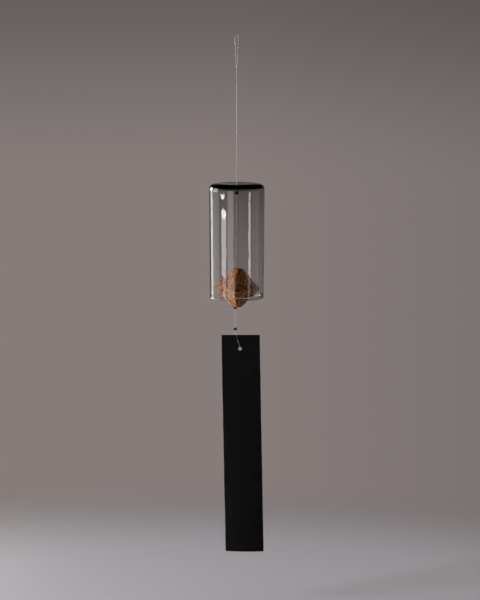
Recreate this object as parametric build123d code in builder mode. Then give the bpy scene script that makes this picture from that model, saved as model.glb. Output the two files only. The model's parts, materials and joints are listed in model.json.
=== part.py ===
from build123d import *

import os
from math import cos, pi, radians, sin, sqrt, tan

# Furin wind bell: a smoke-glass bell on one cord, with a wooden clapper inside and a paper strip below.
# Millimetres. The origin is where a hook carries the hanging loop, +Z is up and -Y is the front.

os.makedirs("parts", exist_ok=True)

# Cord, and the gaps between pieces that turn beside each other
cord_diameter = 0.7
turn_gap = 0.2
seat_gap = 0.3

# Hanging loop
loop_width = 3.8
strand_pitch = 1.1
loop_knot_diameter = 2.2
loop_knot_drop = 33.2

# Glass bell
bell_top_drop = 157.0
bell_height = 123.4
bell_top_diameter = 60.0
bell_rim_diameter = 58.0
bell_top_wall = 2.6
bell_middle_wall = 1.5
bell_rim_wall = 1.1
shoulder_radius = 4.4
shoulder_width = 9.0
shoulder_drop = 1.5
dish_depth = 0.8
dish_edge_radius = 4.0
base_thickness = 8.2
base_corner_drop = 4.0
inner_corner_radius = 2.0
cord_hole_play = 1.15
cord_hole_edge = 0.5
lip_thickness = 1.9
lip_height = 2.2
lip_slope = 1.0
lip_edge_radius = 0.5
lip_blend_radius = 1.0
rim_edge_radius = 0.85

# Black beads and the knots under them
bead_diameter = 3.9
bead_height = 2.2
bead_play = 0.3
bead_tilt = 15.0
bead_knot_diameter = 1.8

# Wooden clapper, on a cord that hangs a little to the left
clapper_drop = 100.3
clapper_half_width = 24.6
clapper_upper_height = 21.4
clapper_lower_height = 20.2
clapper_flat_half_width = 5.4
clapper_edge_radius = 0.5
clapper_bore_play = 1.25
clapper_sink_radius = 2.05
clapper_sink_half_angle = 45.0
clapper_bore_offset = 1.2
clapper_lean = 1.8
clapper_turn = -5.0
clapper_cord_lean = 0.75

# Tail and paper strip
tail_length = 20.5
strip_width = 41.7
strip_length = 238.3
strip_thickness = 0.4
strip_hole_diameter = 4.0
strip_hole_drop = 15.0
strip_hole_offset = 0.8
strip_hole_side = 5.2
strip_top_below_knot = 3.8
strip_lean = 1.0
strip_turn = -7.0
strip_top_curl = 0.2
strip_middle_curl = 1.0
strip_bottom_curl = 2.4

cord_radius = cord_diameter / 2
loop_knot_radius = loop_knot_diameter / 2
bead_knot_radius = bead_knot_diameter / 2
bead_bore = cord_diameter + 2 * bead_play
EIGHTH_TURN = tan(radians(22.5))


def bead_reach(angle):
    """How far a bead stands out from its middle, along a line at that angle to its bore."""
    ring_radius = (bead_diameter + bead_bore) / 4
    half_width = (bead_diameter - bead_bore) / 4
    across = half_width * sin(radians(angle))
    along = bead_height / 2 * cos(radians(angle))
    return ring_radius * sin(radians(angle)) + sqrt(across**2 + along**2)


def corner_radii(points):
    """Radius at each inner point: 0.45 of the shorter run over the tangent of half the turn."""
    corners = [Vector(point) for point in points]
    radii = []
    for before, corner, after in zip(corners, corners[1:], corners[2:]):
        run_in = corner - before
        run_out = after - corner
        half_turn = radians(run_in.get_angle(run_out)) / 2
        radii.append(0.45 * min(run_in.length, run_out.length) / tan(half_turn))
    return radii


def report_tube(name, tube, length, radii):
    """Print a cord's bend radii, and its volume beside its section times its length."""
    section_volume = pi * cord_radius**2 * length
    bends = ", ".join(f"{radius:.2f}" for radius in radii) or "straight"
    print(f"{name}: length {length:.1f}, bends {bends}, volume {tube.volume:.3f} of {section_volume:.3f}")


def make_cord(name, points):
    """A cord's tube along straight runs joined by tangent arcs."""
    radii = corner_radii(points)
    with BuildPart() as cord:
        with BuildLine() as route:
            if radii:
                FilletPolyline(*points, radius=radii)
            else:
                Line(*points)
        path = route.wires()[0]
        with BuildSketch(Plane(origin=path @ 0, z_dir=path % 0)):
            Circle(cord_radius)
        sweep(path=path)
    report_tube(name, cord.part, path.length, radii)
    cord.part.label = name
    export_step(cord.part, f"parts/{name}.step")


def make_knot(name, centre, diameter):
    """A small tight knot, as round as it is pulled."""
    with BuildPart(Plane(centre)) as knot:
        Sphere(diameter / 2)
    knot.part.label = name
    export_step(knot.part, f"parts/{name}.step")


def make_bead(name, centre, tilt):
    """A round black bead with its bore along Z, tilted by that many degrees with its right side up."""
    bore_direction = Vector(-sin(radians(tilt)), 0, cos(radians(tilt)))
    section_plane = Plane(origin=centre, x_dir=(cos(radians(tilt)), 0, sin(radians(tilt))), z_dir=(0, -1, 0))
    with BuildPart() as bead:
        with BuildSketch(section_plane):
            with Locations(((bead_diameter + bead_bore) / 4, 0)):
                Ellipse((bead_diameter - bead_bore) / 4, bead_height / 2)
        revolve(axis=Axis(centre, bore_direction))
    bead.part.label = name
    export_step(bead.part, f"parts/{name}.step")


# Places down the cord, each from the piece above it
loop_knot_centre = Vector(0, 0, -loop_knot_drop)
bell_top_z = -bell_top_drop
base_under_z = bell_top_z - dish_depth - base_thickness
bell_bead_centre = Vector(0, 0, base_under_z - seat_gap - bead_height / 2)
bell_knot_centre = bell_bead_centre - Vector(0, 0, bead_height / 2 + turn_gap + bead_knot_radius)
cord_down = Vector(-sin(radians(clapper_cord_lean)), 0, -cos(radians(clapper_cord_lean)))
cord_at_clapper = bell_knot_centre + cord_down * clapper_drop

# The bore leans more than the cord in it, so the cord lies nearest the bore's left wall at the top
lean_in_bore = radians(clapper_lean - clapper_cord_lean)
cord_shift = clapper_bore_play - seat_gap - clapper_upper_height * tan(lean_in_bore)
clapper_across = Vector(cos(radians(clapper_lean)), 0, -sin(radians(clapper_lean)))
clapper_up = Vector(sin(radians(clapper_lean)), 0, cos(radians(clapper_lean)))
bore_centre = cord_at_clapper + clapper_across * cord_shift
clapper_centre = bore_centre + clapper_across * clapper_bore_offset

# The bead under the clapper nests in the countersunk end of the bore
bead_nest = (bead_diameter / 2 + seat_gap) / sin(radians(clapper_sink_half_angle))
clapper_bead_drop = clapper_lower_height + bead_nest - clapper_sink_radius / tan(radians(clapper_sink_half_angle))
clapper_bead_centre = cord_at_clapper + cord_down * clapper_bead_drop
tilted_bead_reach = bead_reach(bead_tilt + clapper_cord_lean)
clapper_knot_centre = clapper_bead_centre + cord_down * (tilted_bead_reach + turn_gap + bead_knot_radius)
strip_bead_centre = clapper_knot_centre - Vector(0, 0, tail_length)
strip_knot_centre = strip_bead_centre - Vector(0, 0, bead_reach(bead_tilt) + turn_gap + bead_knot_radius)

# Hanging loop, round a hook, with its two strands drawn together at the knot
hook_bend = loop_width / 2
hook_bend_z = cord_radius - hook_bend
loop_end_z = loop_knot_centre.Z + loop_knot_radius + turn_gap
loop_side = [
    (strand_pitch / 2, 0, loop_end_z),
    (hook_bend, 0, hook_bend_z + hook_bend * EIGHTH_TURN),
    (hook_bend * EIGHTH_TURN, 0, hook_bend_z + hook_bend),
]
loop_other_side = [(-x, y, z) for x, y, z in reversed(loop_side)]
make_cord("hanging_loop", loop_side + loop_other_side)
make_knot("loop_knot", loop_knot_centre, loop_knot_diameter)

# Cord from the loop's knot, through the glass and its bead
hanging_cord_ends = [
    loop_knot_centre - Vector(0, 0, loop_knot_radius + turn_gap),
    bell_knot_centre + Vector(0, 0, bead_knot_radius + turn_gap),
]
make_cord("hanging_cord", hanging_cord_ends)

# Glass bell: a thick dished base at the top and a wall that thins down to a fire-polished lip
cord_hole_radius = cord_radius + cord_hole_play
bell_rim_z = bell_top_z - bell_height
top_radius = bell_top_diameter / 2
rim_radius = bell_rim_diameter / 2
inner_top_radius = top_radius - bell_top_wall
shoulder_z = bell_top_z - shoulder_drop
base_corner_z = bell_top_z - base_corner_drop
dish_radius = top_radius - shoulder_width
dish_sphere = (dish_radius**2 + dish_depth**2) / (2 * dish_depth)
base_bulge = base_corner_z - base_under_z
base_sphere = (inner_top_radius**2 + base_bulge**2) / (2 * base_bulge)
lip_radius = rim_radius - lip_thickness
lip_top_z = bell_rim_z + lip_height
wall_end = (rim_radius - bell_rim_wall, lip_top_z + lip_slope)
wall_middle = ((top_radius + rim_radius) / 2 - bell_middle_wall, (base_corner_z + lip_top_z) / 2)
rim_rounding = min(rim_edge_radius, 0.46 * lip_thickness)
with BuildPart() as glass_bell:
    with BuildSketch(Plane.XZ) as wall:
        with BuildLine():
            dish = RadiusArc((cord_hole_radius, bell_top_z - dish_depth), (dish_radius, bell_top_z), -dish_sphere)
            outside = Polyline(
                dish @ 1,
                (top_radius, shoulder_z),
                (rim_radius, bell_rim_z),
                (lip_radius, bell_rim_z),
                (lip_radius, lip_top_z),
                wall_end,
            )
            inside = ThreePointArc(wall_end, wall_middle, (inner_top_radius, base_corner_z))
            under = RadiusArc(inside @ 1, (cord_hole_radius, base_under_z), base_sphere)
            Line(under @ 1, dish @ 0)
        make_face()
        for corner, radius in [
            ((dish_radius, bell_top_z), dish_edge_radius),
            ((top_radius, shoulder_z), shoulder_radius),
            ((rim_radius, bell_rim_z), rim_rounding),
            ((lip_radius, bell_rim_z), rim_rounding),
            ((lip_radius, lip_top_z), lip_edge_radius),
            (wall_end, lip_blend_radius),
            ((inner_top_radius, base_corner_z), inner_corner_radius),
            ((cord_hole_radius, base_under_z), cord_hole_edge),
            ((cord_hole_radius, bell_top_z - dish_depth), cord_hole_edge),
        ]:
            fillet(wall.vertices().sort_by_distance(corner)[0], radius)
    revolve(axis=Axis.Z)
glass_bell.part.label = "glass_bell"
export_step(glass_bell.part, "parts/glass_bell.step")

make_bead("bell_bead", bell_bead_centre, 0)
make_knot("bell_knot", bell_knot_centre, bead_knot_diameter)

# Cord through the clapper to the knot below it
clapper_cord_ends = [
    bell_knot_centre + cord_down * (bead_knot_radius + turn_gap),
    clapper_knot_centre - cord_down * (bead_knot_radius + turn_gap),
]
make_cord("clapper_cord", clapper_cord_ends)

# Wooden clapper: a square bipyramid with its two points cut flat and one edge to the front
clapper_corner = clapper_across.rotate(Axis((0, 0, 0), clapper_up), clapper_turn)
clapper_plane = Plane(origin=clapper_centre, x_dir=clapper_corner, z_dir=clapper_up)
with BuildPart() as wood_clapper:
    for height, half_width in [
        (-clapper_lower_height, clapper_flat_half_width),
        (0, clapper_half_width),
        (clapper_upper_height, clapper_flat_half_width),
    ]:
        with BuildSketch(clapper_plane.offset(height)):
            RegularPolygon(half_width, 4)
    loft(ruled=True)
    fillet(wood_clapper.edges(), clapper_edge_radius)
    bore_end = bore_centre - clapper_up * clapper_lower_height
    with Locations(Plane(origin=bore_end, x_dir=clapper_across, z_dir=-clapper_up).location):
        CounterSinkHole(
            cord_radius + clapper_bore_play, clapper_sink_radius, counter_sink_angle=2 * clapper_sink_half_angle
        )
wood_clapper.part.label = "wood_clapper"
export_step(wood_clapper.part, "parts/wood_clapper.step")

make_bead("clapper_bead", clapper_bead_centre, bead_tilt)
make_knot("clapper_knot", clapper_knot_centre, bead_knot_diameter)

# Tail cord, through the strip's bead
tail_cord_ends = [
    clapper_knot_centre - Vector(0, 0, bead_knot_radius + turn_gap),
    strip_knot_centre + Vector(0, 0, bead_knot_radius + turn_gap),
]
make_cord("tail_cord", tail_cord_ends)
make_bead("strip_bead", strip_bead_centre, bead_tilt)
make_knot("strip_knot", strip_knot_centre, bead_knot_diameter)

# The strip's own frame at its knot: x to the right along the paper, y up, z out of its front
strip_across = Vector(cos(radians(strip_turn)), sin(radians(strip_turn)), 0)
strip_front = Vector(sin(radians(strip_turn)), -cos(radians(strip_turn)), 0)
strip_hang = Plane(origin=strip_knot_centre, x_dir=strip_across, z_dir=strip_front)
strip_hole_depth = strip_top_below_knot + strip_hole_drop

# Loop of cord down the front of the paper, under the top of its hole and up the back
paper_edge_depth = strip_hole_depth - strip_hole_diameter / 2
bend_depth = paper_edge_depth + turn_gap + cord_radius
loop_run = Vector(strip_hole_side, -bend_depth, 0)
loop_direction = loop_run.normalized()
paper_bend = strip_thickness / 2 + seat_gap + cord_radius
loop_start = bead_knot_radius + turn_gap
loop_clear = (strip_top_below_knot - seat_gap - cord_radius) * loop_run.length / bend_depth
loop_front = [
    (loop_start, strand_pitch / 2),
    (loop_clear, paper_bend),
    (loop_run.length - paper_bend + paper_bend * EIGHTH_TURN, paper_bend),
    (loop_run.length, paper_bend * EIGHTH_TURN),
]
loop_back = [(along, -out) for along, out in reversed(loop_front)]
loop_points = [loop_direction * along + Vector(0, 0, out) for along, out in loop_front + loop_back]
make_cord("strip_loop", [strip_hang.from_local_coords(point) for point in loop_points])

# Paper strip, flat at its hole and curling back along both edges towards its bottom
hole_in_hang = (strip_hole_side, -strip_hole_depth, 0)
hole_centre = strip_hang.from_local_coords(hole_in_hang)
strip_leaning = strip_across.rotate(Axis((0, 0, 0), strip_front), strip_lean)
strip_plane = Plane(origin=hole_centre, x_dir=strip_leaning, z_dir=strip_front)
with BuildPart() as paper_strip:
    for height, curl in [
        (strip_hole_drop, strip_top_curl),
        (strip_hole_drop - strip_length / 2, strip_middle_curl),
        (strip_hole_drop - strip_length, strip_bottom_curl),
    ]:
        section_centre = strip_plane.from_local_coords((strip_hole_offset, height, 0))
        with BuildSketch(Plane(origin=section_centre, x_dir=strip_plane.x_dir, z_dir=strip_plane.y_dir)):
            with BuildLine():
                edge = strip_width / 2
                face = strip_thickness / 2
                front = ThreePointArc((-edge, curl - face), (0, -face), (edge, curl - face))
                back = ThreePointArc((-edge, curl + face), (0, face), (edge, curl + face))
                Line(front @ 0, back @ 0)
                Line(front @ 1, back @ 1)
            make_face()
    loft()
    with Locations(strip_plane.location):
        Hole(strip_hole_diameter / 2)
paper_strip.part.label = "paper_strip"
export_step(paper_strip.part, "parts/paper_strip.step")

print("pivots", loop_knot_centre, bell_knot_centre, bore_centre, clapper_knot_centre, strip_knot_centre)
print("strip pivot", strip_hang.from_local_coords(loop_run), "across", strip_across, "front", strip_front)
print("bore direction", clapper_up, "bell rim", bell_rim_z, "clapper", clapper_centre)
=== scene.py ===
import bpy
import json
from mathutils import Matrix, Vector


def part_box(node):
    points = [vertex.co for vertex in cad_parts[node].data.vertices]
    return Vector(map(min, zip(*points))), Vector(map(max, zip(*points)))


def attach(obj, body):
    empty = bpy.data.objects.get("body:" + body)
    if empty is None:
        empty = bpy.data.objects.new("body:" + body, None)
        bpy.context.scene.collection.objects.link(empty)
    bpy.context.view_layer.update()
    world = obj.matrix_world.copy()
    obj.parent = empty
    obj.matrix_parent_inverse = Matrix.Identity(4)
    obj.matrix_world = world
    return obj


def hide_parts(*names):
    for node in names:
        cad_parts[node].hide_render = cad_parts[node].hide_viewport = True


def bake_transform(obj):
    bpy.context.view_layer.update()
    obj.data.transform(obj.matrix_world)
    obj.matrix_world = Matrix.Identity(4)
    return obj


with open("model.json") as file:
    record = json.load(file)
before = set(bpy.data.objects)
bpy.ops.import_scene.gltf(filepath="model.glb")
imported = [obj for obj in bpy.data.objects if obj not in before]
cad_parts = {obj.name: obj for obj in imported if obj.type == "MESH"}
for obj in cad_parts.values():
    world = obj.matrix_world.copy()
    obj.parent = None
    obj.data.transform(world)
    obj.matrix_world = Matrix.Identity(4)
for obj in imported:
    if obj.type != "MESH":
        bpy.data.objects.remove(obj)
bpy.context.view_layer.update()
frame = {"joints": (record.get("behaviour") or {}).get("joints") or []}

import json
from math import cos, pi, radians, sin, sqrt, tan

import bmesh
import bpy
from bpy.props import FloatProperty, FloatVectorProperty, PointerProperty
from mathutils import Matrix, Vector, noise

bl_info = {
    "name": "Glass Wind Bell",
    "version": (1, 0, 0),
    "blender": (4, 5, 0),
    "location": "View3D > Sidebar > Wind Bell",
    "description": "Dresses the packed wind bell: blown glass, nylon line, walnut clapper and paper strip",
    "category": "Object",
}

MM = 0.001
UP = Vector((0, 0, 1))

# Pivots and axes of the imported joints, at rest
PIVOT = {joint["name"]: Vector(joint["pos_m"]) for joint in frame["joints"]}
AXIS = {joint["name"]: Vector(joint["axis"]).normalized() for joint in frame["joints"]}
LOOP_KNOT = PIVOT["swing_side"]
BELL_KNOT = PIVOT["clapper_swing"]
CLAPPER_KNOT = PIVOT["tail_side"]
STRIP_KNOT = PIVOT["strip_flap"]
CLAPPER_UP = AXIS["clapper_spin"]
STRIP_ACROSS = AXIS["strip_flap"]
STRIP_BACK = AXIS["strip_sway"]


def linear(hex_colour):
    """Linear RGBA of an sRGB hex colour."""
    channels = [int(hex_colour[place:place + 2], 16) / 255 for place in (1, 3, 5)]
    return (*[c / 12.92 if c <= 0.04045 else ((c + 0.055) / 1.055) ** 2.4 for c in channels], 1.0)


def node_middle(node):
    """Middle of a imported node's box."""
    low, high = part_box(node)
    return (low + high) / 2


def length_property(name, description, default):
    """A size in metres that a user may change."""
    return FloatProperty(name=name, description=description, default=default, precision=5, unit="LENGTH")


def angle_property(name, description, degrees):
    """An angle that a user may change."""
    return FloatProperty(name=name, description=description, default=radians(degrees), subtype="ANGLE")


def colour_property(name, description, hex_colour):
    """A colour that a user may change."""
    default = linear(hex_colour)
    return FloatVectorProperty(name=name, description=description, default=default, size=4, subtype="COLOR")


class LineSettings(bpy.types.PropertyGroup):
    """The nylon line and its knots"""
    diameter: length_property("Diameter", "Thickness of the line", 0.7 * MM)
    knot_ring: length_property("Knot ring", "Radius that a knot's strands wind round at", 0.42 * MM)
    knot_swell: length_property("Knot swell", "How far a knot's strands rise and fall", 0.22 * MM)
    colour: colour_property("Colour", "Colour of the undyed nylon", "#f1ede8")


class BeadSettings(bpy.types.PropertyGroup):
    """The stop beads"""
    diameter: length_property("Diameter", "Outside width of a bead", 3.9 * MM)
    height: length_property("Height", "Height of a bead along its hole", 2.2 * MM)
    hole: length_property("Hole", "Width of a bead's hole", 1.3 * MM)
    tilt: angle_property("Tilt", "How far the two lower beads hang over", 15)
    colour: colour_property("Colour", "Colour of the opaque glass", "#080808")


class GlassSettings(bpy.types.PropertyGroup):
    """The blown glass bell"""
    top_drop: length_property("Top", "Depth of the bell's top below the hook", 157.0 * MM)
    height: length_property("Height", "Height of the bell", 123.4 * MM)
    top_diameter: length_property("Top width", "Outside width at the top", 60.0 * MM)
    rim_diameter: length_property("Rim width", "Outside width at the rim", 58.0 * MM)
    top_wall: length_property("Top wall", "Wall just under the top", 2.6 * MM)
    rim_wall: length_property("Rim wall", "Wall at the rim", 1.1 * MM)
    lip: length_property("Lip", "Glass that fire polishing gathered at the rim", 1.9 * MM)
    lip_height: length_property("Lip height", "Height of the gathered lip", 2.2 * MM)
    base_thickness: length_property("Base", "Glass at the middle of the closed top", 8.2 * MM)
    dish_depth: length_property("Dish", "How far the closed top sinks in its middle", 0.8 * MM)
    shoulder_width: length_property("Shoulder width", "Slope between the dish and the wall", 9.0 * MM)
    shoulder_drop: length_property("Shoulder drop", "How far the shoulder slopes down", 1.5 * MM)
    inner_drop: length_property("Inner drop", "Depth of the inner corner below the top", 3.2 * MM)
    hole: length_property("Hole", "Width of the hole for the line", 3.0 * MM)
    waviness: length_property("Waviness", "Depth of the swells that blowing leaves", 0.09 * MM)
    tint: colour_property("Tint", "Light that the glass keeps", "#a29e97")
    smoke: FloatProperty(name="Smoke", description="Absorption for each metre of glass", default=260.0)


class ClapperSettings(bpy.types.PropertyGroup):
    """The wooden clapper"""
    half_width: length_property("Half width", "From the middle to a side corner", 24.6 * MM)
    upper_height: length_property("Upper height", "From the side corners to the upper end", 21.4 * MM)
    lower_height: length_property("Lower height", "From the side corners to the lower end", 20.2 * MM)
    end_half_width: length_property("End half width", "From the middle to a corner of a flat end", 5.4 * MM)
    edge_radius: length_property("Edge radius", "Rounding that sanding left on the edges", 0.5 * MM)
    bore: length_property("Bore", "Width of the hole for the line", 3.2 * MM)
    sink: length_property("Sink", "Radius of the countersunk end that the bead nests in", 2.05 * MM)
    bore_offset: length_property("Bore offset", "How far the bore lies off the middle", 1.2 * MM)
    turn: angle_property("Turn", "Turn of the front edge about the bore", -5)
    heartwood: colour_property("Heartwood", "Dark bands of the grain", "#5e2f13")
    sapwood: colour_property("Sapwood", "Light bands of the grain", "#d4915a")


class StripSettings(bpy.types.PropertyGroup):
    """The paper strip"""
    width: length_property("Width", "Width of the cut paper", 41.7 * MM)
    length: length_property("Length", "Length of the cut paper", 238.3 * MM)
    thickness: length_property("Thickness", "Thickness of the paper", 0.4 * MM)
    hole: length_property("Hole", "Width of the punched hole", 4.0 * MM)
    hole_drop: length_property("Hole drop", "Depth of the hole's middle below the top edge", 15.0 * MM)
    hole_offset: length_property("Hole offset", "How far the hole lies left of the middle", 0.8 * MM)
    lean: angle_property("Lean", "How far the strip hangs out of plumb", 1)
    colour: colour_property("Colour", "Colour of the dyed paper", "#0a0a0a")


class StageSettings(bpy.types.PropertyGroup):
    """Camera, light and backdrop"""
    camera_distance: length_property("Distance", "From the camera to the bell, level", 2.563)
    camera_height: length_property("Height", "Camera above the hook", 0.0319)
    camera_shift: length_property("Side", "Camera to the right of the bell", 3.45 * MM)
    camera_pitch: angle_property("Pitch", "How far the camera looks down", 7)
    lens: FloatProperty(name="Lens", description="Focal length in millimetres", default=144.0)
    floor_drop: length_property("Floor", "Depth of the floor below the hook", 0.62)
    backdrop: colour_property("Backdrop", "Colour behind the bell", "#867d7b")
    # Painted shade: the backdrop is darker towards its top.
    shaded_backdrop_top: colour_property("Backdrop top", "Colour behind the loop", "#645d5b")
    ceiling: colour_property("Ceiling", "Colour high above the backdrop", "#141313")
    floor: colour_property("Floor", "Colour of the floor", "#dedbe0")


class WindBellSettings(bpy.types.PropertyGroup):
    """All that a user may change"""
    line: PointerProperty(type=LineSettings, name="Line", description="Nylon line and knots")
    bead: PointerProperty(type=BeadSettings, name="Beads", description="Stop beads")
    glass: PointerProperty(type=GlassSettings, name="Glass", description="Blown glass bell")
    clapper: PointerProperty(type=ClapperSettings, name="Clapper", description="Wooden clapper")
    strip: PointerProperty(type=StripSettings, name="Strip", description="Paper strip")
    stage: PointerProperty(type=StageSettings, name="Stage", description="Camera, light and backdrop")


# Small tools that the pieces share


def add_node(tree, kind, inputs=None, **settings):
    """Add a node with its settings.

    Each input takes a value or the output socket that feeds it. Sockets go by name, or by number on a node
    whose names repeat.
    """
    node = tree.nodes.new(kind)
    for name, value in settings.items():
        setattr(node, name, value)
    for socket, value in (inputs or {}).items():
        if isinstance(value, bpy.types.NodeSocket):
            tree.links.new(value, node.inputs[socket])
        else:
            node.inputs[socket].default_value = value
    return node


def new_material(name):
    """An empty node material and its tree."""
    material = bpy.data.materials.new(name)
    material.use_nodes = True
    material.node_tree.nodes.clear()
    return material, material.node_tree


def add_object(name, data, material=None):
    """Put a mesh or curve in the scene, in the frame's own coordinates."""
    made = bpy.data.objects.new(name, data)
    bpy.context.scene.collection.objects.link(made)
    if material:
        data.materials.append(material)
    return made


def place_piece(piece, body, slot, *nodes):
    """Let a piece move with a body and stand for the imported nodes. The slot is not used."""
    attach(piece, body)
    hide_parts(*nodes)


def bearing(degrees):
    """Level direction from the bell's line, so many degrees to the left of the camera."""
    return Vector((-sin(radians(degrees)), -cos(radians(degrees)), 0))


def circle(radius, height, around):
    """So many points round the Z axis."""
    turns = [2 * pi * turn / around for turn in range(around)]
    return [Vector((radius * cos(turn), radius * sin(turn), height)) for turn in turns]


def round_corners(corners, arc_steps):
    """Points of a closed outline, whose corners are given as (across, height, radius)."""
    points = []
    count = len(corners)
    for index, (across, height, radius) in enumerate(corners):
        corner = Vector((across, height))
        if not radius:
            points.append(corner)
            continue
        before = (Vector(corners[index - 1][:2]) - corner).normalized()
        after = (Vector(corners[(index + 1) % count][:2]) - corner).normalized()
        half_angle = before.angle(after) / 2
        centre = corner + (before + after).normalized() * radius / sin(half_angle)
        start = corner + before * radius / tan(half_angle) - centre
        end = corner + after * radius / tan(half_angle) - centre
        for step in range(arc_steps + 1):
            points.append(centre + start.lerp(end, step / arc_steps).normalized() * radius)
    return points


def spaced(points, spacing):
    """The same run of points, with more between those that are further apart than the spacing."""
    finer = [points[0]]
    for start, end in zip(points, points[1:]):
        steps = max(1, round((end - start).length / spacing))
        finer += [start.lerp(end, step / steps) for step in range(1, steps + 1)]
    return finer


def skin_rings(rings):
    """A closed mesh through rings of equally many points, where the last ring meets the first."""
    shell = bmesh.new()
    loops = [[shell.verts.new(point) for point in ring] for ring in rings]
    for ring, following in zip(loops, loops[1:] + loops[:1]):
        for index in range(len(ring)):
            ahead = (index + 1) % len(ring)
            shell.faces.new((ring[index], ring[ahead], following[ahead], following[index]))
    bmesh.ops.recalc_face_normals(shell, faces=shell.faces)
    for face in shell.faces:
        face.smooth = True
    return shell


def swell(shell, depth, size, stretch=1.0, still=None):
    """Push the surface in and out by noise of that size, drawn out along Z.

    Where a still height is given, the swells start there and grow downwards to their full depth.
    """
    growing = 60 * MM
    shell.normal_update()
    pushes = []
    for vertex in shell.verts:
        x, y, z = vertex.co / size
        growth = 1.0 if still is None else min(1, max(0, (still - vertex.co.z) / growing))
        pushes.append(vertex.normal * growth * depth * noise.noise(Vector((x, y, z / stretch))))
    for vertex, push in zip(shell.verts, pushes):
        vertex.co += push


def finish_mesh(shell, name):
    """Turn a bmesh into mesh data."""
    mesh = bpy.data.meshes.new(name)
    shell.to_mesh(mesh)
    shell.free()
    return mesh


def line_curve(name, points, diameter):
    """A length of line as one smooth open spline."""
    curve = bpy.data.curves.new(name, "CURVE")
    curve.dimensions = "3D"
    curve.bevel_depth = diameter / 2
    curve.bevel_resolution = 4
    curve.use_fill_caps = True
    spline = curve.splines.new("NURBS")
    spline.points.add(len(points) - 1)
    for point, place in zip(spline.points, points):
        point.co = (*place, 1)
    spline.order_u = 3
    spline.use_endpoint_u = True
    spline.resolution_u = 12
    return curve


# Materials


def nylon_line(name, settings, clarity):
    """Nylon monofilament, drawn and undyed: clear with a satin skin, so it takes up what is behind it.

    The skin's haze is finer than a line is wide, and is drawn 0.8 mm coarse to show.
    """
    material, tree = new_material(name)
    place = add_node(tree, "ShaderNodeTexCoord")
    haze = add_node(tree, "ShaderNodeTexNoise", {
        "Vector": place.outputs["Object"], "Scale": 1 / (0.8 * MM),
    })
    rough = add_node(tree, "ShaderNodeMapRange", {
        "Value": haze.outputs["Fac"], "To Min": 0.05, "To Max": 0.2,
    })
    shader = add_node(tree, "ShaderNodeBsdfPrincipled", {
        "Base Color": settings.colour,
        "Roughness": rough.outputs["Result"],
        "IOR": 1.53,
        "Transmission Weight": clarity,
    })
    add_node(tree, "ShaderNodeOutputMaterial", {"Surface": shader.outputs["BSDF"]})
    return material


def black_bead_glass(settings):
    """Opaque black glass, wound and etched matt: black all over, with a dull light on its shoulder.

    The etch is too fine to show, and is drawn 0.3 mm coarse.
    """
    material, tree = new_material("etched_black_glass")
    place = add_node(tree, "ShaderNodeTexCoord")
    etch = add_node(tree, "ShaderNodeTexNoise", {
        "Vector": place.outputs["Object"], "Scale": 1 / (0.3 * MM),
    })
    rough = add_node(tree, "ShaderNodeMapRange", {
        "Value": etch.outputs["Fac"], "To Min": 0.45, "To Max": 0.7,
    })
    bump = add_node(tree, "ShaderNodeBump", {
        "Height": etch.outputs["Fac"], "Strength": 0.3, "Distance": 0.03 * MM,
    })
    shader = add_node(tree, "ShaderNodeBsdfPrincipled", {
        "Base Color": settings.colour,
        "Roughness": rough.outputs["Result"],
        "IOR": 1.52,
        "Specular IOR Level": 0.04,
        "Normal": bump.outputs["Normal"],
    })
    add_node(tree, "ShaderNodeOutputMaterial", {"Surface": shader.outputs["BSDF"]})
    return material


def smoke_glass(settings):
    """Soda-lime glass, coloured grey in the melt and mouth-blown: pale where thin, black seen edge-on."""
    material, tree = new_material("blown_smoke_glass")
    place = add_node(tree, "ShaderNodeTexCoord")
    drawn = add_node(tree, "ShaderNodeMapping", {"Vector": place.outputs["Object"], "Scale": (1, 1, 0.25)})
    striae = add_node(tree, "ShaderNodeTexNoise", {
        "Vector": drawn.outputs["Vector"], "Scale": 1 / (3.0 * MM),
    })
    bump = add_node(tree, "ShaderNodeBump", {
        "Height": striae.outputs["Fac"], "Strength": 0.12, "Distance": 0.2 * MM,
    })
    glass = add_node(tree, "ShaderNodeBsdfPrincipled", {
        "Base Color": linear("#ffffff"),
        "Roughness": 0.0,
        "IOR": 1.52,
        "Transmission Weight": 1.0,
        "Normal": bump.outputs["Normal"],
    })
    clear = add_node(tree, "ShaderNodeBsdfTransparent", {"Color": linear("#f9f9f9")})
    path = add_node(tree, "ShaderNodeLightPath")
    shader = add_node(tree, "ShaderNodeMixShader", {
        0: path.outputs["Is Shadow Ray"], 1: glass.outputs["BSDF"], 2: clear.outputs["BSDF"],
    })
    smoke = add_node(tree, "ShaderNodeVolumeAbsorption", {
        "Color": settings.tint, "Density": settings.smoke,
    })
    add_node(tree, "ShaderNodeOutputMaterial", {
        "Surface": shader.outputs["Shader"], "Volume": smoke.outputs["Volume"],
    })
    return material


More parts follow.
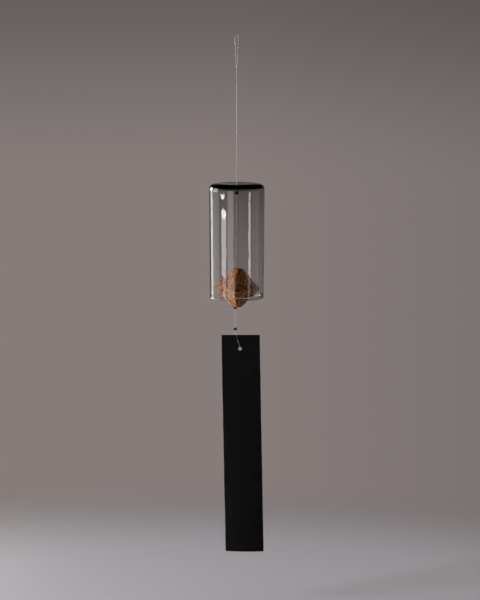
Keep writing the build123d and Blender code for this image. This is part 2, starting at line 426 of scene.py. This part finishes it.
def oiled_walnut(settings):
    """Walnut, sanded and lightly oiled: streaky brown bands with dark pores and pale flecks.

    The pores are 0.2 mm wide on the real wood, and are drawn 0.9 mm coarse to show.
    """
    material, tree = new_material("oiled_walnut")
    place = add_node(tree, "ShaderNodeTexCoord")
    along = add_node(tree, "ShaderNodeMapping", {
        "Vector": place.outputs["Object"], "Rotation": (radians(20), radians(38), 0), "Scale": (1, 1, 0.4),
    })
    bands = add_node(tree, "ShaderNodeTexNoise", {
        "Vector": along.outputs["Vector"], "Scale": 1 / (2.4 * MM), "Detail": 5.0, "Distortion": 0.2,
    })
    pores = add_node(tree, "ShaderNodeTexNoise", {
        "Vector": along.outputs["Vector"], "Scale": 1 / (0.9 * MM), "Detail": 2.0,
    })
    tone = add_node(tree, "ShaderNodeMapRange", {
        "Value": bands.outputs["Fac"], "From Min": 0.35, "From Max": 0.64,
    })
    wood = add_node(tree, "ShaderNodeMix", {
        0: tone.outputs["Result"], 6: settings.heartwood, 7: settings.sapwood,
    }, data_type="RGBA")
    pore = add_node(tree, "ShaderNodeMapRange", {
        "Value": pores.outputs["Fac"], "From Min": 0.37, "From Max": 0.61, "To Min": 0.2, "To Max": 1.58,
    })
    colour = add_node(tree, "ShaderNodeMix", {
        0: 1.0, 6: wood.outputs[2], 7: pore.outputs["Result"],
    }, data_type="RGBA", blend_type="MULTIPLY")
    bump = add_node(tree, "ShaderNodeBump", {
        "Height": pore.outputs["Result"], "Strength": 0.6, "Distance": 0.15 * MM,
    })
    shader = add_node(tree, "ShaderNodeBsdfPrincipled", {
        "Base Color": colour.outputs[2],
        "Roughness": 0.55,
        "IOR": 1.5,
        "Specular IOR Level": 0.04,
        "Normal": bump.outputs["Normal"],
    })
    add_node(tree, "ShaderNodeOutputMaterial", {"Surface": shader.outputs["BSDF"]})
    return material


def dyed_paper(settings):
    """Fibre paper, vat-formed and dyed black: matt, cloudy, with long fibres that just show."""
    material, tree = new_material("dyed_fibre_paper")
    place = add_node(tree, "ShaderNodeTexCoord")
    cloud = add_node(tree, "ShaderNodeTexNoise", {
        "Vector": place.outputs["Object"], "Scale": 1 / (9.0 * MM), "Detail": 4.0,
    })
    fibre = add_node(tree, "ShaderNodeTexNoise", {
        "Vector": place.outputs["Object"], "Scale": 1 / (1.1 * MM), "Detail": 3.0, "Distortion": 1.5,
    })
    shade = add_node(tree, "ShaderNodeMapRange", {
        "Value": cloud.outputs["Fac"], "From Min": 0.3, "From Max": 0.7, "To Min": 0.6, "To Max": 1.3,
    })
    colour = add_node(tree, "ShaderNodeMix", {
        0: 1.0, 6: settings.colour, 7: shade.outputs["Result"],
    }, data_type="RGBA", blend_type="MULTIPLY")
    bump = add_node(tree, "ShaderNodeBump", {
        "Height": fibre.outputs["Fac"], "Strength": 0.4, "Distance": 0.12 * MM,
    })
    shader = add_node(tree, "ShaderNodeBsdfPrincipled", {
        "Base Color": colour.outputs[2],
        "Roughness": 0.85,
        "IOR": 1.45,
        "Specular IOR Level": 0.31,
        "Normal": bump.outputs["Normal"],
    })
    add_node(tree, "ShaderNodeOutputMaterial", {"Surface": shader.outputs["BSDF"]})
    return material


def pale_floor(settings):
    """Painted board, pale and matt, which fades into the backdrop away from the bell."""
    material, tree = new_material("painted_pale_floor")
    place = add_node(tree, "ShaderNodeTexCoord")
    reach = add_node(tree, "ShaderNodeVectorMath", {0: place.outputs["Object"]}, operation="LENGTH")
    fade = add_node(tree, "ShaderNodeMapRange", {
        "Value": reach.outputs["Value"], "From Min": 0.3, "From Max": 0.7,
    }, interpolation_type="SMOOTHSTEP")
    board = add_node(tree, "ShaderNodeBsdfPrincipled", {"Base Color": settings.floor, "Roughness": 0.9})
    clear = add_node(tree, "ShaderNodeBsdfTransparent")
    shader = add_node(tree, "ShaderNodeMixShader", {
        0: fade.outputs["Result"], 1: board.outputs["BSDF"], 2: clear.outputs["BSDF"],
    })
    add_node(tree, "ShaderNodeOutputMaterial", {"Surface": shader.outputs["Shader"]})
    return material


# The stage's lamps

WHITE = linear("#fffdfa")[:3]
LILAC = linear("#faf6ff")[:3]
GREEN = linear("#f6fff8")[:3]

# Name, degrees left of the camera, distance, height, width, tallness, radiance, colour, use, height it faces
LAMPS = [
    ("window_upper_pane", 61, 1.1, 0.002, 0.42, 0.56, 10.0, LILAC, "light"),
    ("window_lower_pane", 60, 1.1, -0.574, 0.42, 0.57, 4.7, LILAC, "light"),
    ("window_streak", 55.5, 1.08, -0.3395, 0.42, 0.101, 7.0, LILAC, "mirror"),
    ("window_sill", 55.5, 1.06, -0.292, 0.3, 0.013, 11.0, LILAC, "mirror"),
    ("window_foot", 54, 1.08, -0.411, 0.28, 0.042, 3.8, LILAC, "mirror"),
    ("window_slat", 60, 1.08, -0.2684, 0.3, 0.0072, 18.0, LILAC, "mirror"),
    ("front_card", 25.7, 1.3, -0.5, 0.56, 0.9, 2.3, WHITE, "mirror"),
    ("left_card", 99, 1.1, -0.5, 0.85, 0.9, 1.4, GREEN),
    ("edge_card", 127, 1.2, -0.3, 0.36, 1.2, 4.1, WHITE, "mirror"),
    ("rim_card", 103, 0.5, -0.53, 1.2, 0.17, 9.0, WHITE, "mirror", -0.28),
    ("shoulder_card", 133, 1.1, 0.0, 0.4, 0.5, 5.5, WHITE, "mirror", -0.16),
    ("sky_card", 100, 1.1, 0.05, 0.5, 0.64, 4.5, LILAC, "mirror", -0.16),
    ("right_strip", -53.8, 0.9, -0.3076, 0.15, 0.125, 6.5, LILAC, "mirror"),
    ("right_strip_foot", -51.5, 0.9, -0.387, 0.18, 0.034, 1.6, LILAC, "mirror"),
    ("right_card", -84, 0.95, -0.31, 0.62, 0.187, 0.5, WHITE, "mirror"),
    ("back_card", 179.4, 1.5, -0.047, 0.03, 0.05, 0.2, WHITE, "mirror"),
]


# Operators, one for each piece or group of like pieces


class WINDBELL_OT_stage(bpy.types.Operator):
    """Make the camera, the studio lights, the floor and the plain backdrop"""
    bl_idname = "windbell.stage"
    bl_label = "Stage"

    def execute(self, context):
        settings = context.scene.wind_bell.stage
        context.scene.view_settings.view_transform = "Standard"
        self.add_camera(context.scene, settings)
        self.add_backdrop(context.scene, settings)
        self.add_floor(settings)
        for lamp in LAMPS:
            self.add_softbox(*lamp)
        facing_down = (0, 0, 0)
        floor_light = self.add_softbox("floor_light", -120, 0.3, -0.32, 0.9, 0.6, 0.3, WHITE, "light")
        floor_light.rotation_euler = facing_down
        self.add_flag(azimuth=-40, distance=1.0, height=-0.3, width=2.4, tall=2.0)
        return {"FINISHED"}

    def add_camera(self, scene, settings):
        camera = bpy.data.objects.new("camera", bpy.data.cameras.new("camera"))
        camera.data.lens = settings.lens
        camera.data.sensor_width = 36
        camera.data.clip_end = 50
        camera.location = (settings.camera_shift, -settings.camera_distance, settings.camera_height)
        camera.rotation_euler = (pi / 2 - settings.camera_pitch, 0, 0)
        scene.collection.objects.link(camera)
        scene.camera = camera

    def add_softbox(
        self, name, azimuth, distance, height, width, tall, radiance, colour, use="both", faced_height=None
    ):
        """A rectangular lamp that faces the bell's line, level or at the height given.

        Its use is to light the pieces, to be mirrored in the outside of the glass, or both.
        """
        lamp = bpy.data.lights.new(name, "AREA")
        lamp.shape = "RECTANGLE"
        lamp.size = width
        lamp.size_y = tall
        lamp.energy = radiance * pi * width * tall
        lamp.color = colour
        softbox = bpy.data.objects.new(name, lamp)
        softbox.location = bearing(azimuth) * distance + UP * height
        faced = UP * (height if faced_height is None else faced_height)
        softbox.rotation_euler = (softbox.location - faced).to_track_quat("Z", "Y").to_euler()
        softbox.visible_camera = False
        softbox.visible_diffuse = use != "mirror"
        softbox.visible_glossy = use != "light"
        softbox.visible_transmission = False
        bpy.context.scene.collection.objects.link(softbox)
        return softbox

    def add_flag(self, azimuth, distance, height, width, tall):
        """A black cloth on the right, which keeps the room out of the glass's reflections."""
        velvet, tree = new_material("black_velvet")
        shader = add_node(tree, "ShaderNodeBsdfDiffuse", {"Color": linear("#050505")})
        add_node(tree, "ShaderNodeOutputMaterial", {"Surface": shader.outputs["BSDF"]})
        cloth = bmesh.new()
        bmesh.ops.create_grid(cloth, x_segments=1, y_segments=1, size=0.5)
        flag = add_object("black_flag", finish_mesh(cloth, "black_flag"), velvet)
        flag.location = bearing(azimuth) * distance + UP * height
        flag.rotation_euler = bearing(azimuth).to_track_quat("Z", "Y").to_euler()
        flag.scale = (width, tall, 1)
        flag.visible_camera = False
        flag.visible_diffuse = False
        flag.visible_shadow = False

    def add_floor(self, settings):
        floor = bmesh.new()
        bmesh.ops.create_circle(floor, cap_ends=True, radius=1.0, segments=96)
        board = add_object("floor", finish_mesh(floor, "floor"), pale_floor(settings))
        board.location = (0, 0, -settings.floor_drop)

    def add_backdrop(self, scene, settings):
        """The world is a lit backdrop to the eye and in the glass, and a dim room to the pieces."""
        world = bpy.data.worlds.new("studio")
        world.use_nodes = True
        scene.world = world
        tree = world.node_tree
        tree.nodes.clear()
        place = add_node(tree, "ShaderNodeTexCoord")
        ray = add_node(tree, "ShaderNodeSeparateXYZ", {"Vector": place.outputs["Generated"]})
        # Painted shade: the backdrop darkens towards the top, where less light reaches it.
        rise = add_node(tree, "ShaderNodeMapRange", {
            "Value": ray.outputs["Z"], "From Min": sin(radians(-4.5)), "From Max": sin(radians(1.0)),
        }, interpolation_type="SMOOTHSTEP")
        # Painted shade: the backdrop is darker on the right, where less light reaches it.
        side = add_node(tree, "ShaderNodeMapRange", {
            "Value": ray.outputs["X"], "From Min": 0.0, "From Max": 0.1, "To Min": 1.0, "To Max": 0.84,
        })
        wall = add_node(tree, "ShaderNodeMix", {
            0: rise.outputs["Result"], 6: settings.backdrop, 7: settings.shaded_backdrop_top,
        }, data_type="RGBA")
        high = add_node(tree, "ShaderNodeMapRange", {
            "Value": ray.outputs["Z"], "From Min": sin(radians(6)), "From Max": sin(radians(20)),
        }, interpolation_type="SMOOTHSTEP")
        room_wall = add_node(tree, "ShaderNodeMix", {
            0: high.outputs["Result"], 6: wall.outputs[2], 7: settings.ceiling,
        }, data_type="RGBA")
        shaded = add_node(tree, "ShaderNodeMix", {
            0: 1.0, 6: room_wall.outputs[2], 7: side.outputs["Result"],
        }, data_type="RGBA", blend_type="MULTIPLY")
        path = add_node(tree, "ShaderNodeLightPath")
        glossy = add_node(tree, "ShaderNodeMath", {
            0: path.outputs["Is Camera Ray"], 1: path.outputs["Is Glossy Ray"],
        }, operation="MAXIMUM")
        seen = add_node(tree, "ShaderNodeMath", {
            0: glossy.outputs["Value"], 1: path.outputs["Is Transmission Ray"],
        }, operation="MAXIMUM")
        room = add_node(tree, "ShaderNodeBackground", {"Color": settings.backdrop, "Strength": 0.3})
        lit = add_node(tree, "ShaderNodeBackground", {"Color": shaded.outputs[2]})
        shader = add_node(tree, "ShaderNodeMixShader", {
            0: seen.outputs["Value"], 1: room.outputs["Background"], 2: lit.outputs["Background"],
        })
        add_node(tree, "ShaderNodeOutputWorld", {"Surface": shader.outputs["Shader"]})


class WINDBELL_OT_lines(bpy.types.Operator):
    """Hang the nylon line: the loop, two straight stretches, and the tail that loops through the paper"""
    bl_idname = "windbell.lines"
    bl_label = "Lines"

    def execute(self, context):
        settings = context.scene.wind_bell.line
        # Two copies of the nylon: a whiter one that shows brighter on the line above the strip knot (painted
        # light), and a clearer one that shows darker over the black paper below it (painted shade).
        nylon = nylon_line("lit_nylon_line", settings, clarity=0.42)
        shaded_copy = nylon_line("clear_shaded_nylon_line", settings, clarity=0.92)
        self.add_loop(settings, nylon)
        self.add_straight_line("hanging_line", LOOP_KNOT, BELL_KNOT, "hanging_cord", settings, nylon)
        self.add_straight_line("clapper_line", BELL_KNOT, CLAPPER_KNOT, "clapper_cord", settings, nylon)
        self.add_tail(settings, nylon, shaded_copy)
        return {"FINISHED"}

    def add_loop(self, settings, nylon):
        """The loop over the hook, whose two strands run into the knot; one side's route in millimetres."""
        side = [
            (0.30, 0, -33.0),
            (0.55, 0, -31.9),
            (0.73, 0, -27.7),
            (1.80, 0, -4.96),
            (1.90, 0, -0.763),
            (0.787, 0, 0.35),
        ]
        route = side + [(-x, y, z) for x, y, z in reversed(side)]
        points = [Vector(point) * MM for point in route]
        curve = line_curve("hanging_loop_line", points, settings.diameter)
        piece = add_object("hanging_loop_line", curve, nylon)
        place_piece(piece, "hook_loop", "nylon_cord", "hanging_loop")

    def add_straight_line(self, name, start, end, node, settings, nylon):
        """A stretch that its load pulls straight between two knots."""
        near_knot = (end - start).normalized() * settings.diameter * 6
        points = [start, start + near_knot, end - near_knot, end]
        piece = add_object(name, line_curve(name, points, settings.diameter), nylon)
        place_piece(piece, node, "nylon_cord", node)

    def add_tail(self, settings, nylon, shaded_copy):
        """The line below the clapper: through bead and knot, down the paper, round its hole and back.

        The loop's route is in millimetres, down from the knot and out from the paper's plane. Below the knot
        the line takes a clearer copy of the nylon, which shows darker over the black paper: painted shade.
        """
        front = [(1.1, 0.55), (3.288, 0.85), (17.615, 0.85), (18.112, 0.352)]
        loop = front + [(along, -out) for along, out in reversed(front)]
        down = (PIVOT["strip_sway"] - STRIP_KNOT).normalized()
        straight = [CLAPPER_KNOT, CLAPPER_KNOT.lerp(STRIP_KNOT, 0.25), CLAPPER_KNOT.lerp(STRIP_KNOT, 0.8)]
        points = straight + [STRIP_KNOT + down * along * MM - STRIP_BACK * out * MM for along, out in loop]
        line = add_object("tail_route", line_curve("tail_route", points, 0))
        path = [vertex.co.copy() for vertex in self.as_mesh(line).vertices]
        line.data.bevel_depth = settings.diameter / 2
        tube = self.as_mesh(line)
        bpy.data.objects.remove(line)
        piece = add_object("tail_line", tube, nylon)
        tube.materials.append(shaded_copy)
        for face in tube.polygons:
            # Faces below the strip knot take the clearer, darker copy of the nylon: painted shade.
            face.material_index = int(face.center.z < STRIP_KNOT.z)
        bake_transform(piece)
        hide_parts("tail_cord", "strip_loop")

    def as_mesh(self, line):
        """The mesh of a line as it stands."""
        return bpy.data.meshes.new_from_object(line.evaluated_get(bpy.context.evaluated_depsgraph_get()))


class WINDBELL_OT_knots(bpy.types.Operator):
    """Tie the overhand knots"""
    bl_idname = "windbell.knots"
    bl_label = "Knots"

    def execute(self, context):
        settings = context.scene.wind_bell.line
        nylon = nylon_line("kinked_nylon_line", settings, clarity=0.3)
        for node, body, size, turn in [
            ("loop_knot", "loop_knot", 1.2, 40),
            ("bell_knot", "bell_knot", 1.0, 100),
            ("clapper_knot", "clapper_knot", 1.0, 160),
            ("strip_knot", "strip_loop", 1.0, 20),
        ]:
            piece = add_object(f"{node}_overhand", self.tie(node, settings, size, radians(turn)), nylon)
            place_piece(piece, body, "nylon_cord", node)
        return {"FINISHED"}

    def tie(self, node, settings, size, turn):
        """A pulled overhand knot: its line winds twice round the ring and rises and falls three times."""
        curve = bpy.data.curves.new(f"{node}_overhand", "CURVE")
        curve.dimensions = "3D"
        curve.bevel_depth = settings.diameter / 2
        curve.bevel_resolution = 4
        steps = 72
        windings = 2
        rises = 3
        steepness = 1.6
        spline = curve.splines.new("POLY")
        spline.points.add(steps - 1)
        spline.use_cyclic_u = True
        centre = node_middle(node)
        for step, point in enumerate(spline.points):
            angle = 2 * pi * step / steps
            reach = size * (settings.knot_ring + settings.knot_swell * cos(rises * angle))
            rise = size * settings.knot_swell * steepness * sin(rises * angle)
            wound = windings * angle + turn
            point.co = (*(centre + Vector((reach * cos(wound), reach * sin(wound), rise))), 1)
        return curve


class WINDBELL_OT_beads(bpy.types.Operator):
    """Thread the black stop beads"""
    bl_idname = "windbell.beads"
    bl_label = "Beads"

    def execute(self, context):
        settings = context.scene.wind_bell.bead
        black = black_bead_glass(settings)
        for node, body, tilt in [
            ("bell_bead", "bell_bead", 0),
            ("clapper_bead", "clapper_bead", settings.tilt),
            ("strip_bead", "tail", settings.tilt),
        ]:
            piece = add_object(f"{node}_glass", self.make(node, settings, tilt), black)
            place_piece(piece, body, "black_bead", node)
        return {"FINISHED"}

    def make(self, node, settings, tilt):
        """A ring of glass, a little fuller at its outside than at its hole."""
        around = 48
        across = 32
        ring_radius = (settings.diameter + settings.hole) / 4
        half_width = (settings.diameter - settings.hole) / 4
        place = Matrix.Translation(node_middle(node)) @ Matrix.Rotation(-tilt, 4, "Y")
        rings = []
        for step in range(across):
            angle = 2 * pi * step / across
            radius = ring_radius + half_width * cos(angle)
            rise = settings.height / 2 * sin(angle)
            rings.append([place @ spot for spot in circle(radius, rise, around)])
        return finish_mesh(skin_rings(rings), f"{node}_glass")


class WINDBELL_OT_glass(bpy.types.Operator):
    """Blow the glass bell"""
    bl_idname = "windbell.glass"
    bl_label = "Glass bell"

    def execute(self, context):
        settings = context.scene.wind_bell.glass
        around = 224
        even_top = 16 * MM
        shell = skin_rings([circle(across, height, around) for across, height in self.outline(settings)])
        still = -settings.top_drop - even_top
        swell(shell, settings.waviness, size=11 * MM, stretch=8, still=still)
        swell(shell, settings.waviness / 2, size=5 * MM, stretch=2.5, still=still)
        mesh = finish_mesh(shell, "blown_glass_bell")
        piece = add_object("blown_glass_bell", mesh, smoke_glass(settings))
        place_piece(piece, "bell", "smoke_glass", "glass_bell")
        return {"FINISHED"}

    def outline(self, settings):
        """Half the bell's section, from the hole over the dished top, down the wall and back inside."""
        top = -settings.top_drop
        rim = top - settings.height
        hole = settings.hole / 2
        outside = settings.top_diameter / 2
        inside = outside - settings.top_wall
        rim_outside = settings.rim_diameter / 2
        lip_inside = rim_outside - settings.lip
        lip_top = rim + settings.lip_height
        dish = outside - settings.shoulder_width
        shoulder = top - settings.shoulder_drop
        middle = top - settings.dish_depth
        under = middle - settings.base_thickness
        inner_corner = top - settings.inner_drop
        lip_taper = lip_top + 1 * MM
        polish = 0.46 * settings.lip
        soft_edge = 0.5 * MM
        dish_radius = 4 * MM
        shoulder_radius = 6 * MM
        taper_radius = 1 * MM
        inner_radius = 2 * MM
        steps = 8
        shares = [step / steps for step in range(1, steps)]
        dished = []
        for s in shares:
            dished.append((hole + (dish - hole) * s, top - settings.dish_depth * (1 - s * s), 0))
        thinned = []
        bulged = []
        for s in reversed(shares):
            wall = settings.rim_wall + (settings.top_wall - settings.rim_wall) * (1 - s) ** 2
            height = inner_corner + (lip_taper - inner_corner) * s
            thinned.append((outside + (rim_outside - outside) * s - wall, height, 0))
            bulged.append((hole + (inside - hole) * s, under + (inner_corner - under) * s * s, 0))
        corners = [
            (hole, middle, soft_edge),
            *dished,
            (dish, top, dish_radius),
            (outside, shoulder, shoulder_radius),
            (rim_outside, rim, polish),
            (lip_inside, rim, polish),
            (lip_inside, lip_top, soft_edge),
            (rim_outside - settings.rim_wall, lip_taper, taper_radius),
            *thinned,
            (inside, inner_corner, inner_radius),
            *bulged,
            (hole, under, soft_edge),
        ]
        points = round_corners(corners, arc_steps=10)
        return spaced(points + points[:1], spacing=1.2 * MM)[:-1]


class WINDBELL_OT_clapper(bpy.types.Operator):
    """Carve the wooden clapper"""
    bl_idname = "windbell.clapper"
    bl_label = "Clapper"

    def execute(self, context):
        settings = context.scene.wind_bell.clapper
        across = Vector((CLAPPER_UP.z, 0, -CLAPPER_UP.x))
        bore_place = Matrix((across, CLAPPER_UP.cross(across), CLAPPER_UP)).transposed().to_4x4()
        bore_place.translation = PIVOT["clapper_spin"]
        middle_place = bore_place @ Matrix.Translation((settings.bore_offset, 0, 0))
        turn = Matrix.Rotation(settings.turn, 4, "Z")
        rings = []
        for half_diagonal, height in self.facet_outline(settings):
            spots = self.square(half_diagonal, settings)
            rings.append([middle_place @ turn @ Vector((*spot, height)) for spot in spots])
        for radius, height in self.bore_outline(settings):
            spots = [spot.normalized() * radius for spot in self.square(settings.half_width, settings)]
            rings.append([bore_place @ turn @ Vector((*spot, height)) for spot in spots])
        shell = skin_rings(rings)
        swell(shell, depth=0.22 * MM, size=7 * MM)
        piece = add_object("walnut_clapper", finish_mesh(shell, "walnut_clapper"), oiled_walnut(settings))
        place_piece(piece, "clapper", "walnut", "wood_clapper")
        return {"FINISHED"}

    def facet_outline(self, settings):
        """Half diagonals and heights down the outside, from one flat end to the other."""
        flat = settings.end_half_width - 1.0 * MM
        corners = [
            (flat, settings.upper_height, 0),
            (settings.end_half_width, settings.upper_height, settings.edge_radius),
            (settings.half_width, 0, settings.edge_radius),
            (settings.end_half_width, -settings.lower_height, settings.edge_radius),
            (flat, -settings.lower_height, 0),
        ]
        return spaced(round_corners(corners, arc_steps=5), spacing=0.8 * MM)

    def bore_outline(self, settings):
        """Radii and heights up the bore: countersunk for the bead below, its edge just broken above."""
        radius = settings.bore / 2
        broken = 0.3 * MM
        return [
            (settings.sink, -settings.lower_height),
            (radius, settings.sink - radius - settings.lower_height),
            (radius, settings.upper_height - broken),
            (radius + broken, settings.upper_height),
        ]

    def square(self, half_diagonal, settings):
        """Points round a square that stands on its rounded corners, equally many for every size."""
        radius = settings.edge_radius
        corners = [(half_diagonal, 0), (0, half_diagonal), (-half_diagonal, 0), (0, -half_diagonal)]
        points = round_corners([(*corner, radius) for corner in corners], arc_steps=5)
        side = half_diagonal * sqrt(2) - 2 * radius
        return spaced(points + points[:1], spacing=side / 20)[:-1]


class WINDBELL_OT_strip(bpy.types.Operator):
    """Cut, punch and hang the paper strip"""
    bl_idname = "windbell.strip"
    bl_label = "Paper strip"

    def execute(self, context):
        settings = context.scene.wind_bell.strip
        paper = self.cut(settings)
        for vertex in paper.verts:
            vertex.co = self.curled(vertex.co, settings)
        bmesh.ops.solidify(paper, geom=paper.faces, thickness=settings.thickness)
        bmesh.ops.recalc_face_normals(paper, faces=paper.faces)
        for face in paper.faces:
            face.smooth = True
        cut_edge = radians(40)
        for edge in paper.edges:
            edge.smooth = edge.calc_face_angle(0) < cut_edge
        mesh = finish_mesh(paper, "hanging_paper_strip")
        piece = add_object("hanging_paper_strip", mesh, dyed_paper(settings))
        across = STRIP_ACROSS.copy()
        across.rotate(Matrix.Rotation(settings.lean, 3, -STRIP_BACK))
        place = Matrix((across, across.cross(STRIP_BACK), -STRIP_BACK)).transposed().to_4x4()
        hole_right_of_knot = STRIP_ACROSS * 5.2 * MM
        hole_below_knot = UP * 18.8 * MM
        place.translation = STRIP_KNOT + hole_right_of_knot - hole_below_knot
        piece.data.transform(place)
        place_piece(piece, "strip", "black_paper", "paper_strip")
        return {"FINISHED"}

    def cut(self, settings):
        """The flat sheet about its hole: a grid that is fine round the hole and bent into a circle there."""
        hole_steps = 4
        block_steps = 2 * hole_steps
        fine = settings.hole / 2 / hole_steps
        left = settings.hole_offset - settings.width / 2
        top = settings.hole_drop
        columns = self.grid_lines(left, left + settings.width, fine, block_steps)
        rows = self.grid_lines(top - settings.length, top, fine, block_steps)
        hole_column = columns.index(0)
        hole_row = rows.index(0)
        paper = bmesh.new()
        grid = {}
        for column, x in enumerate(columns):
            for row, y in enumerate(rows):
                spot = Vector((x, y, 0))
                ring = max(abs(column - hole_column), abs(row - hole_row))
                if ring < hole_steps:
                    continue
                if ring < block_steps:
                    spot = spot.lerp(spot.normalized() * ring * fine, (block_steps - ring) / hole_steps)
                grid[column, row] = paper.verts.new(spot)
        for column in range(len(columns) - 1):
            for row in range(len(rows) - 1):
                beside = -hole_steps <= column - hole_column < hole_steps
                level = -hole_steps <= row - hole_row < hole_steps
                if beside and level:
                    continue
                corners = [(column, row), (column + 1, row), (column + 1, row + 1), (column, row + 1)]
                paper.faces.new([grid[corner] for corner in corners])
        return paper

    def grid_lines(self, low, high, fine, block_steps):
        """Places of grid lines: about 2 mm apart, and fine steps in the block round zero."""
        coarse = 2 * MM
        block = fine * block_steps
        before = round((-block - low) / coarse)
        after = round((high - block) / coarse)
        lines = [low + (-block - low) * step / before for step in range(before)]
        lines += [fine * step for step in range(-block_steps, block_steps)]
        lines += [block + (high - block) * step / after for step in range(after + 1)]
        return lines

    def curled(self, spot, settings):
        """A point of the flat sheet, after damp air curled the edges back and the knife strayed a little.

        The curl deepens down the strip, the paper's wave dies out towards the hole, and each long edge has a
        stray of its own.
        """
        share = (settings.hole_drop - spot.y) / settings.length
        off_middle = (spot.x - settings.hole_offset) / (settings.width / 2)
        curl_depth = (0.2 + 1.0 * share + 1.2 * share * share) * MM
        curl = curl_depth * off_middle ** 2
        wave_depth = 0.3 * MM * min(1, max(0, (spot.length / MM - 16) / 30))
        wave = wave_depth * noise.noise(Vector((spot.x / (22 * MM), spot.y / (34 * MM), 3.7)))
        stray_depth = 0.18 * MM * off_middle ** 3
        stray = stray_depth * noise.noise(Vector((round(off_middle) * 9.1, spot.y / (17 * MM), 1.3)))
        return Vector((spot.x + stray, spot.y, settings.thickness / 2 - curl + wave))


class WINDBELL_PT_panel(bpy.types.Panel):
    """Lists the pieces of the wind bell"""
    bl_idname = "WINDBELL_PT_panel"
    bl_label = "Wind Bell"
    bl_space_type = "VIEW_3D"
    bl_region_type = "UI"
    bl_category = "Wind Bell"

    def draw(self, context):
        for operator in OPERATORS:
            self.layout.operator(operator.bl_idname)


SETTINGS = [
    LineSettings, BeadSettings, GlassSettings, ClapperSettings, StripSettings, StageSettings,
    WindBellSettings,
]
OPERATORS = [
    WINDBELL_OT_stage, WINDBELL_OT_lines, WINDBELL_OT_knots, WINDBELL_OT_beads, WINDBELL_OT_glass,
    WINDBELL_OT_clapper, WINDBELL_OT_strip,
]


def register():
    for made in (*SETTINGS, *OPERATORS, WINDBELL_PT_panel):
        bpy.utils.register_class(made)
    bpy.types.Scene.wind_bell = PointerProperty(type=WindBellSettings)


def unregister():
    del bpy.types.Scene.wind_bell
    for made in reversed((*SETTINGS, *OPERATORS, WINDBELL_PT_panel)):
        bpy.utils.unregister_class(made)


def main():
    register()
    bpy.ops.windbell.stage()
    bpy.ops.windbell.lines()
    bpy.ops.windbell.knots()
    bpy.ops.windbell.beads()
    bpy.ops.windbell.glass()
    bpy.ops.windbell.clapper()
    bpy.ops.windbell.strip()


if __name__ == "__main__":
    main()
